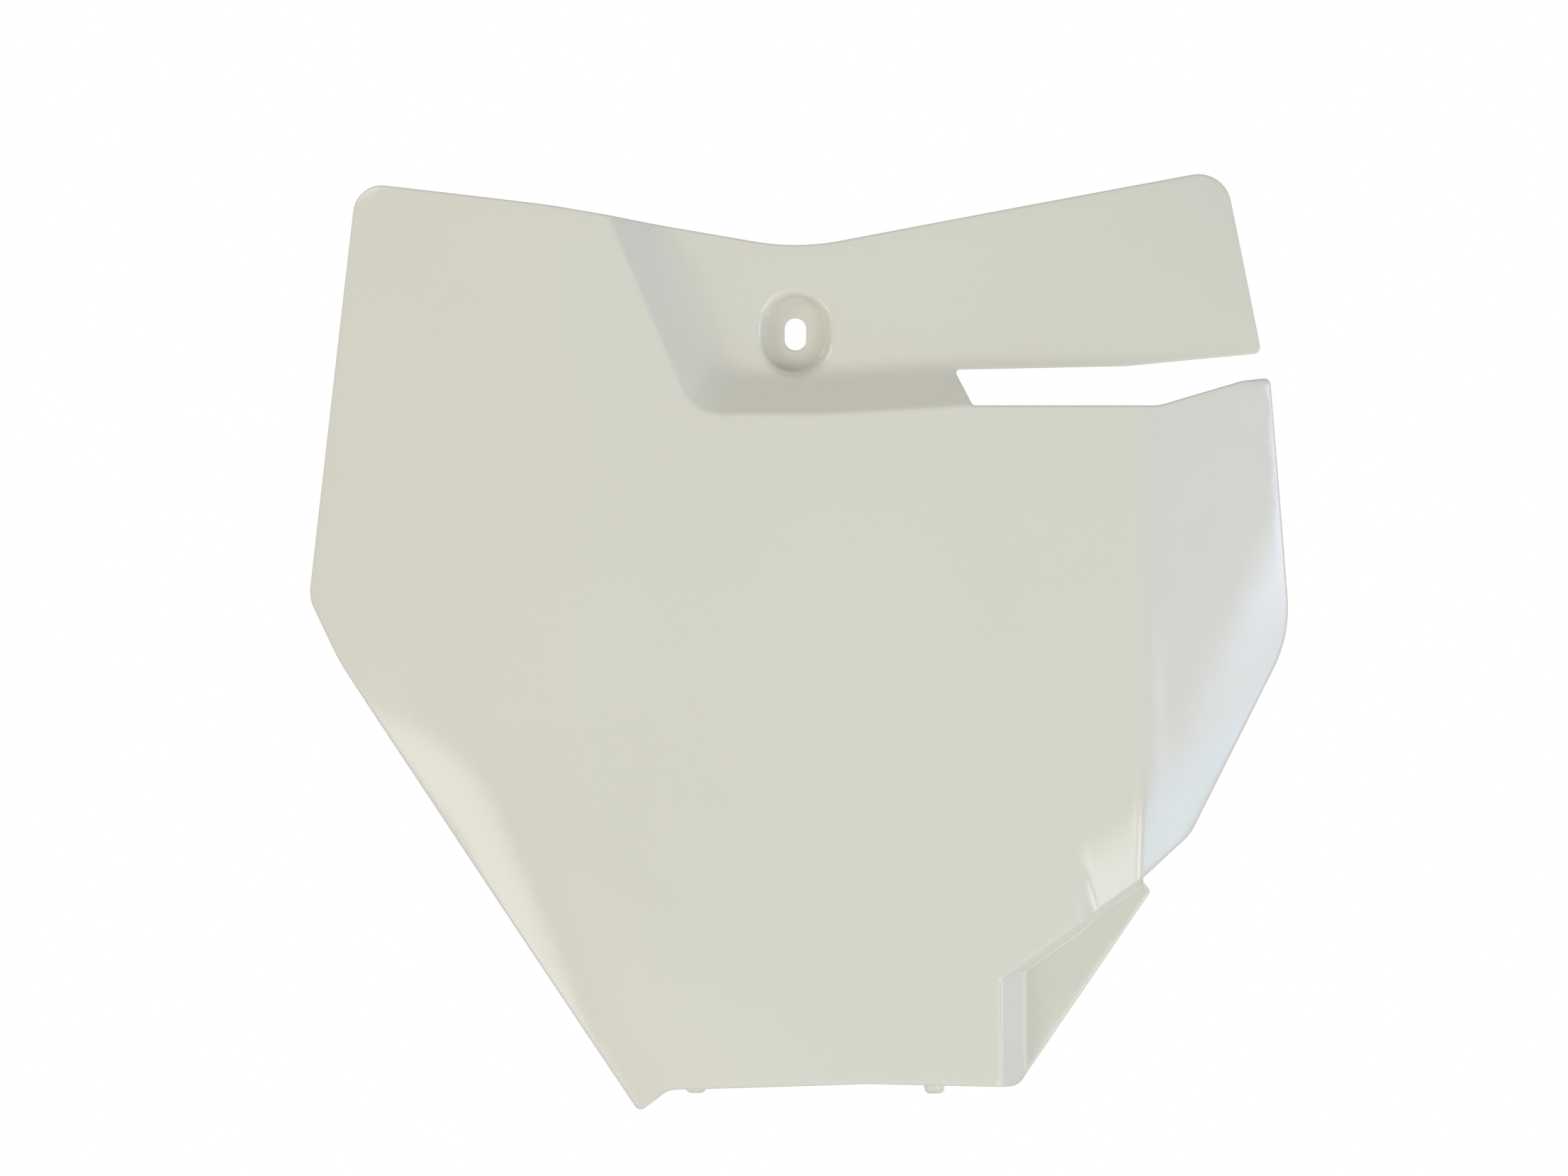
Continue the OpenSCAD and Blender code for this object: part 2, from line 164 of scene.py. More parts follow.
@dataclass(frozen=True)
class Outline:
    """The board's outline on the frontal plane, clockwise from the dip in its top edge.

    Attributes:
        corners: The outline's corners in order.
        spacing: Distance between points along it, in mm.
    """

    corners: tuple[Corner, ...]
    spacing: float = 1.3

    @staticmethod
    def arc(before: Corner, at: Corner, after: Corner, steps: int = 10) -> Array:
        """Points of the arc that rounds a corner.

        Formula: the arc's centre lies on the corner's bisector, the radius over the sine of
        half the angle away, and the arc turns from one edge's foot to the other's.

        Args:
            before: Corner before.
            at: Corner to round.
            after: Corner after.
            steps: Steps along the arc.

        Returns:
            An array of (steps + 1) places.
        """
        u = before.place - at.place
        v = after.place - at.place
        u, v = u / np.linalg.norm(u), v / np.linalg.norm(v)
        half = math.acos(float(np.clip(u @ v, -1, 1))) / 2
        middle = (u + v) / np.linalg.norm(u + v)
        centre = at.place + middle * at.r / math.sin(half)
        start = at.place + u * at.r / math.tan(half) - centre
        end = at.place + v * at.r / math.tan(half) - centre
        turn = math.atan2(start[0] * end[1] - start[1] * end[0], float(start @ end))
        t = np.linspace(0.0, turn, steps + 1)[:, None]
        across = np.array([-start[1], start[0]])
        return centre + np.cos(t) * start + np.sin(t) * across

    def points(self) -> Array:
        """The closed outline, with points the spacing apart and no point repeated."""
        n = len(self.corners)
        arcs = [self.arc(self.corners[i - 1], self.corners[i], self.corners[(i + 1) % n])
                for i in range(n)]
        return spread(np.vstack(arcs), self.spacing)


def spread(loop: Array, spacing: float) -> Array:
    """Adds points along a closed loop wherever two lie further apart than the spacing.

    Args:
        loop: Closed loop of places.
        spacing: Greatest distance between points.

    Returns:
        The loop with its own points kept and the gaps filled evenly.
    """
    step = np.roll(loop, -1, axis=0) - loop
    length = np.linalg.norm(step, axis=1)
    keep = length > 1e-6
    loop, step, length = loop[keep], step[keep], length[keep]
    parts = np.maximum(1, np.ceil(length / spacing).astype(int))
    first = np.repeat(np.arange(len(loop)), parts)
    order = np.arange(parts.sum()) - np.repeat(np.cumsum(parts) - parts, parts)
    share = order / parts[first]
    return loop[first] + step[first] * share[:, None]


def inward(loop: Array) -> Array:
    """Unit normals of a clockwise closed loop that point into it.

    Formula: the mean of the directions before and after each point, turned a quarter turn
    to the right.

    Args:
        loop: Closed clockwise loop of places.

    Returns:
        One unit vector for each point.
    """
    ahead = np.roll(loop, -1, axis=0) - loop
    behind = loop - np.roll(loop, 1, axis=0)
    ahead /= np.linalg.norm(ahead, axis=1)[:, None]
    behind /= np.linalg.norm(behind, axis=1)[:, None]
    along = ahead + behind
    along /= np.linalg.norm(along, axis=1)[:, None]
    return np.stack([along[:, 1], -along[:, 0]], axis=1)


def loop_distance(places: Array, loop: Array, chunk: int = 1500) -> Array:
    """Distance of each place from a closed loop, positive inside it.

    Formula: the least distance to any of the loop's segments, signed by how many segments
    a level ray from the place crosses.

    Args:
        places: Places to measure.
        loop: Closed loop.
        chunk: How many places are measured at once.

    Returns:
        Signed distances.
    """
    start, end = loop, np.roll(loop, -1, axis=0)
    edge = end - start
    square = np.maximum((edge * edge).sum(axis=1), 1e-12)
    parts = []
    for group in np.array_split(places, max(1, len(places) // chunk)):
        offset = group[:, None, :] - start[None]
        share = np.clip((offset * edge).sum(axis=2) / square, 0.0, 1.0)
        gap = np.linalg.norm(offset - share[:, :, None] * edge, axis=2).min(axis=1)
        rises = (start[:, 1] > group[:, 1, None]) != (end[:, 1] > group[:, 1, None])
        run = np.where(np.abs(edge[:, 1]) < 1e-12, 1e-12, edge[:, 1])
        cross = start[:, 0] + (group[:, 1, None] - start[:, 1]) * edge[:, 0] / run
        odd = (rises & (group[:, 0, None] < cross)).sum(axis=1) % 2 == 1
        parts.append(np.where(odd, gap, -gap))
    return np.concatenate(parts)


def right_of(x: Array, z: Array, start: Pair, end: Pair) -> Array:
    """Distance of places to the right of the line from start to end.

    Formula: the cross product of the way from the start and the line's own way, over the
    line's length.

    Args:
        x: Places across.
        z: Places up.
        start: Where the line starts, across and up.
        end: Where it ends.

    Returns:
        The distances, negative on the left.
    """
    dx, dz = end[0] - start[0], end[1] - start[1]
    return ((x - start[0]) * dz - (z - start[1]) * dx) / math.hypot(dx, dz)


def oval_distance(x: Array, z: Array, width: float, rise: float) -> Array:
    """Distance outside an upright oval whose ends' centres lie the rise above and below 0.

    Formula: the distance to the segment between those centres, less half the width.
    """
    return np.hypot(x, z - np.clip(z, -rise, rise)) - width / 2


def oval_loop(width: float, rise: float, count: int) -> Array:
    """Clockwise points of an upright oval with straight flanks.

    Formula: a circle whose upper half is moved up, and its lower half down, by the rise.

    Args:
        width: Width of the oval.
        rise: Half the distance between the centres of its two ends.
        count: Number of points on the two ends together.

    Returns:
        The closed loop.
    """
    t = np.linspace(0.0, math.pi, count // 2 + 1)
    top = np.stack([-np.cos(t) * width / 2, np.sin(t) * width / 2 + rise], axis=1)
    return np.vstack([top, -top])


@dataclass(frozen=True)
class Plan:
    """The board's driving dimensions on the frontal plane, in mm from the screw slot."""

    gap_x: float = 38.8
    gap_drop: float = 8.8
    gap_h: float = 8.9
    gap_lean: float = 4.4
    gap_rise_x: float = 88.5
    gap_level_x: float = 109.5
    arm_tip_drop: float = 4.7
    wing_top_drop: float = 10.5
    wing_fall: float = 0.9
    notch_x: float = 84.5
    notch_drop: float = 133.2
    notch_size: float = 3.2
    bottom_drop: float = 184.0
    bottom_bow: float = 0.8
    bottom_right_x: float = 54.5
    horn_x: float = 38.2
    horn_reach: float = 6.4
    waist_x: float = 111.8
    waist_drop: float = 80.2

    @property
    def gap_low(self) -> float:
        """Height of the gap's lower edge."""
        return -(self.gap_drop + self.gap_h)

    @property
    def gap_in_x(self) -> float:
        """Place of the gap's lower inner corner."""
        return self.gap_x + self.gap_lean

    def outline(self) -> Outline:
        """The board's outline."""
        low, tip = self.gap_low, -self.arm_tip_drop
        bottom, wing = -self.bottom_drop, -self.wing_top_drop
        middle = self.bottom_right_x * 0.6 - self.horn_x * 0.4
        return Outline((
            Corner(0.5, 20.8, 58), Corner(105.3, 40.7, 8), Corner(114.1, tip, 1.6),
            Corner(81.0, -7.9, 40), Corner(self.gap_x, -self.gap_drop, 0.9),
            Corner(self.gap_in_x, low, 0.9), Corner(self.gap_rise_x, low, 12),
            Corner(self.gap_level_x, wing - self.wing_fall, 15), Corner(116.7, wing, 1.6),
            Corner(121.9, -73.7, 32), Corner(96.7, -122.4, 12),
            Corner(self.notch_x, -self.notch_drop, 0.9),
            Corner(self.notch_x + self.notch_size * 0.75,
                   -self.notch_drop - self.notch_size, 0.9),
            Corner(self.bottom_right_x, bottom, 4), Corner(middle, bottom + self.bottom_bow, 60),
            Corner(7.2 - self.horn_x, bottom - self.bottom_bow, 5),
            Corner(-self.horn_x, bottom - self.horn_reach, 1.6),
            Corner(-self.waist_x, -self.waist_drop, 60), Corner(-119.4, -64.6, 9),
            Corner(-107.6, 37.2, 7), Corner(-60.0, 31.2, 200),
        ))


@dataclass(frozen=True)
class Mount:
    """The screw slot, its dish in the face and its boss behind, in mm.

    Names that end in _w are widths, _h heights, _t thicknesses and _r radii.
    """

    slot_w: float = 5.3
    slot_h: float = 7.9
    dish_w: float = 16.2
    dish_depth: float = 4.5
    dish_draft: float = 8.0
    floor_t: float = 2.4
    seat_w: float = 17.4
    boss_w: float = 20.6
    boss_h: float = 4.7
    boss_reach: float = 6.0
    seat_blend: float = 0.5
    boss_blend: float = 1.4
    rim_r: float = 2.0
    floor_r: float = 0.4
    floor_ease: float = 0.6

    @property
    def rise(self) -> float:
        """Half the distance between the centres of the slot's two ends."""
        return (self.slot_h - self.slot_w) / 2

    @property
    def wall_run(self) -> float:
        """How far the dish's drafted wall runs in over its height."""
        return self.dish_depth * tangent(self.dish_draft)

    @property
    def arm_y(self) -> float:
        """Place of the arm's face at the slot."""
        return -(self.dish_depth + self.floor_t)

    def dish_in_face(self, x: Array, z: Array, y: Array) -> Array:
        """Cuts the dish into the face.

        Formula: outside the rim's rounding the face is kept. Across it the face turns in by
        a quarter arc, the wall then runs straight down to a small parabola, and from there
        the floor is flat.

        Args:
            x: Places across.
            z: Places up.
            y: The face there.

        Returns:
            The face with the dish in it.
        """
        d = oval_distance(x, z, self.dish_w, self.rise)
        r = self.rim_r
        reach = np.clip(r - d, 0.0, r)
        rounded = y + r - np.sqrt(r * r - reach * reach)
        floor, lift = -self.floor_t, self.floor_r * self.floor_ease
        down = ramp(-d, 0.0, self.wall_run)
        wall = (y + r) + (floor - lift - y - r) * down
        foot = ramp(-d, self.wall_run, self.wall_run + self.floor_r)
        ease = floor - lift * (1 - foot) ** 2
        inside = np.where(d < -self.wall_run, ease, wall)
        return np.where(d < 0, inside, rounded)

    def boss_on_back(self, x: Array, z: Array, y: Array) -> Array:
        """Adds the boss behind the dish.

        Formula: a flat seat at y = 0, drafted sides that fall away from it, and a blend of
        the sides into the back of the wall.

        Args:
            x: Places across.
            z: Places up.
            y: The back of the wall there.

        Returns:
            The back with the boss on it.
        """
        d = oval_distance(x, z, self.seat_w, self.rise)
        fall = self.boss_h / ((self.boss_w - self.seat_w) / 2)
        sides = smooth_min(np.zeros_like(d), -d * fall, self.seat_blend)
        return np.where(d < self.boss_reach, smooth_max(y, sides, self.boss_blend), y)


@dataclass(frozen=True)
class Form:
    """Depths of the board's surfaces behind its foremost face, in mm.

    Its methods take places across (x) and up (z) as arrays. Names that end in _x, _z and
    _drop are places right of, above and below the slot, _w widths, _r radii, _angle angles
    in degrees and _blend widths of blends.

    Attributes:
        sink_low: Heights over which the sink beside the crease grows in.
        sink_high: Drops over which it fades out.
        flank_start: Share of the lower flank's edge over which it grows in.
        flank_end: Share of its width at which it stops growing.
        arm_roll_way: Direction in which the arm rolls back.
        ball_tilts: Angles from Y at which the wall's balls are touched.
        ball_turns: How many ways round each ball is touched.
    """

    plan: Plan
    mount: Mount
    wall_t: float = 2.2
    crown_z: float = -60.0
    crown_r: float = 2400.0
    flank_x: float = 47.0
    flank_r: float = 150.0
    crease_x: float = 84.0
    wing_angle: float = 32.0
    crease_r_top: float = 13.0
    crease_r_low: float = 4.5
    wing_roll_r: float = 130.0
    roll_top_x: float = 115.0
    roll_top_drop: float = 41.0
    roll_low_x: float = 85.0
    roll_low_drop: float = 107.0
    roll_blend: float = 4.0
    roll_inset: float = 1.0
    sink_depth: float = 0.1
    sink_x: float = 5.0
    sink_w: float = 2.2
    sink_edge_w: float = 1.5
    sink_low: Pair = (-118.0, -104.0)
    sink_high: Pair = (66.0, 86.0)
    flank_start: float = 0.4
    flank_end: float = 1.4
    low_flank_top_w: float = 24.0
    low_flank_w: float = 56.0
    low_flank_angle: float = 17.0
    arm_depth: float = 10.0
    step_angle: float = 43.0
    step_x: float = 25.0
    step_drop: float = 19.9
    step_rise_x: float = 6.0
    step_top_x: float = 46.1
    step_top_z: float = 29.3
    step_corner_blend: float = 7.0
    foot_blend: float = 2.0
    crest_blend: float = 0.6
    arm_roll_start: float = 40.0
    arm_roll_r: float = 250.0
    arm_roll_way: Pair = (0.6, 0.8)
    recess_depth: float = 8.8
    recess_x: float = 50.3
    recess_drop: float = 157.5
    recess_angle: float = 56.0
    recess_steep: float = 78.0
    recess_crest: float = 1.2
    recess_blend: float = 0.6
    lip_r: float = 62.0
    lip_w: float = 3.0
    lip_end: float = 3.0
    lip_run: float = 12.0
    facet_w: float = 21.0
    facet_r: float = 100.0
    facet_x: float = 69.6
    ridge_angle: float = 30.0
    ridge_blend: float = 0.4
    gap_margin: float = 0.6
    ball_tilts: tuple[float, ...] = (22.0, 42.0, 60.0, 76.0)
    ball_turns: int = 8

    def crown(self, z: Array) -> Array:
        """Depth of the gentle arch from top to bottom: the square of the height from its
        foremost level, over twice its radius."""
        return (z - self.crown_z) ** 2 / (2 * self.crown_r)

    def crest_y(self) -> float:
        """Place of the foremost face."""
        return self.mount.arm_y - self.arm_depth - float(self.crown(np.array(0.0)))

    def low_flank(self, x: Array, z: Array) -> Array:
        """Depth by which the lower left flank falls back.

        Formula: the slope grows with the square of the share of the flank's width, from
        nothing inside to its full angle at the slanting edge. The width grows along that
        edge from its upper end to its lower end, and the fall grows in over its first part.

        Returns:
            The depth that it adds.
        """
        p = self.plan
        dx, dz = p.waist_x - p.horn_x, p.bottom_drop + p.horn_reach - p.waist_drop
        s = right_of(x, z, (-p.waist_x, -p.waist_drop), (-p.horn_x, -p.bottom_drop - p.horn_reach))
        along = ((x + p.waist_x) * dx - (z + p.waist_drop) * dz) / math.hypot(dx, dz) ** 2
        grow = np.clip(along, 0.0, 1.0)
        width = self.low_flank_top_w + (self.low_flank_w - self.low_flank_top_w) * grow
        share = np.clip(1 + s / width, 0.0, self.flank_end)
        start = np.clip(along / self.flank_start, 0.0, 1.0)
        start = start * start * (3 - 2 * start)
        return width / 3 * tangent(self.low_flank_angle) * share ** 3 * start

    def wing(self, x: Array, z: Array) -> Array:
        """Depth of the folded wing.

        Formula: a fold at an upright line whose radius shrinks on the way down, a roll of
        large radius beyond a leaning line, measured no further than from the fold, and a
        slight sink beside the lower part of the fold.

        Returns:
            The depth that it adds.
        """
        low = -self.plan.notch_drop
        share = ramp(self.plan.gap_low - z, 0.0, self.plan.gap_low - low)
        radius = self.crease_r_top + (self.crease_r_low - self.crease_r_top) * share
        fold = crease(x - self.crease_x, math.radians(self.wing_angle), radius)
        line = right_of(x, z, (self.roll_low_x, -self.roll_low_drop),
                        (self.roll_top_x, -self.roll_top_drop))
        beyond = smooth_min(line, x - self.crease_x - self.roll_inset, self.roll_blend)
        sunk = ramp(z, *self.sink_low) * ramp(-z, *self.sink_high)
        across = np.tanh((x - self.crease_x - self.sink_x) / self.sink_w)
        sink = self.sink_depth * across * sunk
        near = np.clip((x - self.crease_x) / self.sink_edge_w, 0.0, 1.0)
        return fold + bend_back(beyond, self.wing_roll_r) + (sink + self.sink_depth) * near

    def lip(self, x: Array, z: Array) -> Array:
        """Depth of the soft lip above the recess's slanting wall.

        Formula: a bend along the wall's edge that starts close to it. Right of the facet's
        line a slope falls away to the right, and settles into a wider bend of larger radius.

        Returns:
            The depth that it adds.
        """
        _, upper = self.recess_sides(x, z)
        inside = np.minimum(upper, self.lip_end)
        slope = (x - self.facet_x) * tangent(self.ridge_angle)
        ridge = smooth_max(slope, np.zeros_like(x), self.ridge_blend)
        facet = settle(ridge, bend_back(inside + self.facet_w, self.facet_r), self.crest_blend)
        lip = bend_back(inside + self.lip_w, self.lip_r)
        return np.maximum(facet, lip) * ramp(x, self.recess_x, self.recess_x + self.lip_run)

    def field(self, x: Array, z: Array) -> Array:
        """Depth of the crowned field with its rolled left side and lower left flank."""
        return (self.crown(z) + bend_back(-x - self.flank_x, self.flank_r)
                + self.low_flank(x, z))

    def recess_sides(self, x: Array, z: Array) -> tuple[Array, Array]:
        """Distances inside the recess's side wall and inside its slanting upper wall."""
        upper = right_of(x, z, (self.recess_x, -self.recess_drop),
                         (self.plan.notch_x, -self.plan.notch_drop))
        return x - self.recess_x, upper

    def step_level(self, x: Array) -> Array:
        """Height of the step's nearly level edge, which rises to the gap's lower edge."""
        return -self.step_drop + (self.plan.gap_low + self.step_drop) * ramp(
            x, self.step_rise_x, self.plan.gap_in_x)

    def edge_z(self, x: Array) -> Array:
        """Height of the step's level edge and, right of it, of the gap's lower edge."""
        p = self.plan
        climb = -p.wing_top_drop - p.wing_fall - p.gap_low
        return self.step_level(x) + climb * ramp(x, p.gap_rise_x, p.gap_level_x)

    def panel(self, x: Array, z: Array) -> Array:
        """Depth of the main face with its wing, its recess and a soft edge along the gap.

        Formula: the recess drops by the lesser of its two walls' depths and settles into a
        floor. The soft edge is the start of a wall as steep as the step's.

        Returns:
            The depth.
        """
        base = self.field(x, z) + self.wing(x, z) + self.lip(x, z)
        side, upper = self.recess_sides(x, z)
        drop = np.minimum(side * tangent(self.recess_angle), upper * tangent(self.recess_steep))
        drop = smooth_max(drop, np.zeros_like(x), self.recess_crest)
        room = self.crown(z) + self.recess_depth - base
        edge = (z - self.edge_z(x)) * tangent(self.step_angle)
        soft = smooth_max(edge, np.zeros_like(x), self.crest_blend)
        return base + settle(drop, room, self.recess_blend) + soft

    def step_reach(self, x: Array, z: Array) -> Array:
        """Distance inside the step's edge.

        Formula: the smooth minimum of the distances to its leaning line and to its nearly
        level one.

        Returns:
            The distance, negative outside the step.
        """
        beside = right_of(x, z, (-self.step_x, -self.step_drop),
                          (-self.step_top_x, self.step_top_z))
        return smooth_min(beside, z - self.step_level(x), self.step_corner_blend)

    def stepped(self, x: Array, z: Array) -> Array:
        """Depth of the upper part.

        Formula: the field drops along the slope of the step and settles into the arm, which
        rolls back at its end.

        Returns:
            The depth.
        """
        base = self.field(x, z)
        fall = self.step_reach(x, z) * tangent(self.step_angle)
        drop = smooth_max(fall, np.zeros_like(x), self.crest_blend)
        right, up = self.arm_roll_way
        roll = bend_back(x * right + z * up - self.arm_roll_start, self.arm_roll_r)
        room = self.crown(z) + self.arm_depth + roll - base
        return base + settle(drop, room, self.foot_blend)

    def below_gap(self, x: Array, z: Array) -> Array:
        """True right of the gap's inner end and below the middle of the gap."""
        p = self.plan
        climb = (p.gap_drop - p.arm_tip_drop - p.gap_low - p.wing_top_drop - p.wing_fall) / 2
        middle = -p.gap_drop - p.gap_h / 2 + climb * ramp(x, p.gap_rise_x, p.gap_level_x)
        return (x > p.gap_in_x + self.gap_margin) & (z < middle)

    def skin_y(self, x: Array, z: Array) -> Array:
        """Place of the moulded face, before the dish is cut."""
        depth = np.where(self.below_gap(x, z), self.panel(x, z), self.stepped(x, z))
        return self.crest_y() + depth

    def surface_y(self, x: Array, z: Array, side: Side) -> Array:
        """Place along Y of the face or of the back.

        Formula: the back touches balls of the wall's thickness that are set all along the
        face, so its depth is the greatest of theirs.

        Args:
            x: Places across, in mm.
            z: Places up, in mm.
            side: The face or the back.

        Returns:
            Places along Y, in mm.
        """
        if side is Side.FACE:
            return self.mount.dish_in_face(x, z, self.skin_y(x, z))
        t = self.wall_t
        low = self.below_gap(x, z)
        y = self.skin_y(x, z) + t
        turns = np.radians(np.arange(self.ball_turns) * 360 / self.ball_turns)
        for tilt in np.radians(self.ball_tilts):
            for turn in turns:
                at = (x + t * math.sin(tilt) * math.cos(turn),
                      z + t * math.sin(tilt) * math.sin(turn))
                depth = np.where(low, self.panel(*at), self.stepped(*at))
                y = np.maximum(y, self.crest_y() + depth + t * math.cos(tilt))
        return self.mount.boss_on_back(x, z, y)


@dataclass
class NumberBoard:
    """The whole moulded board.

    Attributes:
        form: Its surfaces.
        edge_r: Radius of its edges, in mm.
        coarse: Spacing of points on its even parts, in mm.
        fine: Spacing near its sharper folds.
        finest: Spacing on those folds.
        near: How far from a fold the fine spacing reaches.
        at: How far from a fold the finest spacing reaches.
        edge_steps: Steps around each edge.
        ring_reach: How far out from the dish no other points lie.
        rim_gap: How far the walls' rows keep from the outline.
        rim_share: How far other points keep from it, as a share of their spacing.
        side_band: Where the side wall's rows take the other points' place.
        upper_band: Where the upper wall's rows do.
        crease_z: Height below which the wing's crease is sharp.
        weld_gap: Greatest distance between merged points, in metres.
    """

    form: Form
    edge_r: float = 0.55
    coarse: float = 1.7
    fine: float = 0.8
    finest: float = 0.4
    near: float = 2.6
    at: float = 1.0
    edge_steps: int = 5
    slot_spacing: float = 0.5
    ring_points: int = 96
    ring_reach: float = 5.6
    rim_gap: float = 0.25
    rim_share: float = 0.55
    side_band: Pair = (-1.5, 7.2)
    upper_band: Pair = (-1.2, 2.8)
    crease_z: float = -60.0
    weld_gap: float = 2e-6
    lugs: tuple["Lug", ...] = ()

    def outer(self) -> Array:
        """The outline's closed loop."""
        return self.form.plan.outline().points()

    def slot(self) -> Array:
        """The slot's closed loop, clockwise."""
        m = self.form.mount
        return spread(oval_loop(m.slot_w, m.rise, 48), self.slot_spacing)

    def fold_distance(self, x: Array, z: Array) -> Array:
        """Distance from the nearest sharp fold.

        Formula: the least distance from the step's crest, from the band of the recess's
        walls and from that of the wing's crease, which counts as no nearer than `at`.

        Args:
            x: Places across, in mm.
            z: Places up, in mm.

        Returns:
            The distances, in mm.
        """
        form = self.form
        step = np.abs(form.step_reach(x, z))
        side, upper = form.recess_sides(x, z)
        inside = np.minimum(side, upper)
        recess = np.maximum(-inside, inside - 5.0)
        wing = np.maximum(self.at, np.abs(x - form.crease_x) - 3.0)
        wing = np.where(z < self.crease_z, wing, math.inf)
        return np.minimum(np.minimum(step, recess), wing)

    @staticmethod
    def lattice(low: Array, high: Array, spacing: float) -> Array:
        """Staggered rows of places that fill a rectangle.

        Args:
            low: Its lowest corner.
            high: Its highest corner.
            spacing: Distance between places.

        Returns:
            The places.
        """
        rows = np.arange(low[1], high[1], spacing * math.sqrt(0.75))
        cols = np.arange(low[0], high[0], spacing)
        z = np.repeat(rows, len(cols))
        x = np.tile(cols, len(rows)) + np.repeat(np.arange(len(rows)) % 2, len(cols)) * spacing / 2
        return np.stack([x, z], axis=1)

    def rings(self) -> Array:
        """Places on ovals around the slot that follow the dish and the boss."""
        m = self.form.mount
        run = m.wall_run
        out = [m.rim_r * share for share in (1.3, 1.0, 0.75, 0.5, 0.3, 0.15, 0.05)]
        out += [0.0, -run / 2, -run, -run - m.floor_r * 0.5, -run - m.floor_r, -2.6, -3.9]
        out += [3.3, 4.1, 5.0]
        return np.vstack([oval_loop(m.dish_w + 2 * d, m.rise, self.ring_points) for d in out])

    def wall_rows(self) -> Array:
        """Places in rows that follow the recess's two walls.

        Formula: each row lies a set distance inside its wall's crest, from just before it
        to just past the foot.

        Returns:
            The places.
        """
        form = self.form
        p = form.plan
        corner = np.array([form.recess_x, -form.recess_drop])
        along = np.array([p.notch_x - form.recess_x, form.recess_drop - p.notch_drop])
        length = float(np.linalg.norm(along))
        along = along / length
        across = np.array([along[1], -along[0]])
        steps = np.arange(0.0, length + 3.0, 0.45)[:, None]
        upper = [corner + across * d + along * (steps + 0.6 + max(d, 0.0) * 1.3)
                 for d in (-0.9, -0.5, -0.2, 0.05, 0.3, 0.6, 0.9, 1.2, 1.5, 1.8, 2.1, 2.5)]
        drops = np.arange(0.7, 36.0, 0.6)[:, None]
        run = form.recess_depth / tangent(form.recess_angle)
        side = [corner + np.array([d, 0.0]) - drops * np.array([0.0, 1.0])
                for d in (-1.2, -0.8, -0.4, 0.0, 0.4, 0.8, 1.4, run / 2, run - 1.4, run - 0.8,
                          run - 0.4, run, run + 0.4, run + 0.9)]
        return np.vstack(upper + side)

    def places(self, rim: Array, hole: Array) -> Array:
        """Every place inside the outline at which the surfaces are worked out.

        Args:
            rim: The outline, set in by the edge's radius.
            hole: The slot, set out by the edge's radius.

        Returns:
            The places, the two loops first.
        """
        m = self.form.mount
        low, high = rim.min(axis=0), rim.max(axis=0)
        rows = self.wall_rows()
        groups = [rows[loop_distance(rows, rim) > self.rim_gap]]
        for spacing, first, last in ((self.coarse, self.near, math.inf),
                                     (self.fine, self.at, self.near),
                                     (self.finest, -math.inf, self.at)):
            group = self.lattice(low, high, spacing)
            x, z = group.T
            away = self.fold_distance(x, z)
            side, upper = self.form.recess_sides(x, z)
            beside = (side > self.side_band[0]) & (side < self.side_band[1])
            beside &= z < -self.form.recess_drop - 0.4
            above = (upper > self.upper_band[0]) & (upper < self.upper_band[1]) & (side > 0.3)
            keep = (away >= first) & (away < last) & ~(beside | above)
            keep &= oval_distance(x, z, m.dish_w, m.rise) > self.ring_reach
            group = group[keep]
            groups.append(group[loop_distance(group, rim) > spacing * self.rim_share])
        return np.vstack([rim, hole, self.rings(), *groups])

    @staticmethod
    def closed(first: int, count: int) -> list[tuple[int, int]]:
        """Edges of a closed loop of points that start at a number."""
        return [(first + i, first + (i + 1) % count) for i in range(count)]

    def rim_strip(self, loop: Array, hole: bool) -> tuple[Array, Array]:
        """The edge's profile carried along a loop, as rings of points from face to back.

        Formula: the profile is a quarter arc from the face to the edge, a straight across
        the wall, and a quarter arc to the back. Each of its points lies at the surface's
        own depth at the place under it, plus the arc's own depth.

        Args:
            loop: The clockwise outline of the wall.
            hole: True where the wall lies outside the loop.

        Returns:
            The points as (profile, loop, 3) and the loop of places at the profile's ends.
        """
        normal = inward(loop) * (-1.0 if hole else 1.0)
        turn = np.linspace(0.0, math.pi / 2, self.edge_steps + 1)
        inset = self.edge_r * (1 - np.sin(turn))
        lift = self.edge_r * (1 - np.cos(turn))
        inset[-1] = 0.0
        rings = []
        for side, sign in ((Side.FACE, 1.0), (Side.BACK, -1.0)):
            made = []
            for d, rise in zip(inset, lift):
                at = loop + normal * d
                y = self.form.surface_y(at[:, 0], at[:, 1], side) + sign * rise
                made.append(np.stack([at[:, 0], y, at[:, 1]], axis=1))
            rings.append(made)
        return np.stack(rings[0] + rings[1][::-1]), loop + normal * self.edge_r

    @staticmethod
    def strip_faces(first: int, rows: int, count: int, flip: bool) -> Array:
        """Four-sided faces between successive closed rings of points."""
        i = np.arange(count)
        after = (i + 1) % count
        base = first + np.arange(rows - 1)[:, None] * count
        quads = np.stack([base + i, base + count + i, base + count + after, base + after], axis=2)
        quads = quads.reshape(-1, 4)
        return quads[:, ::-1] if flip else quads

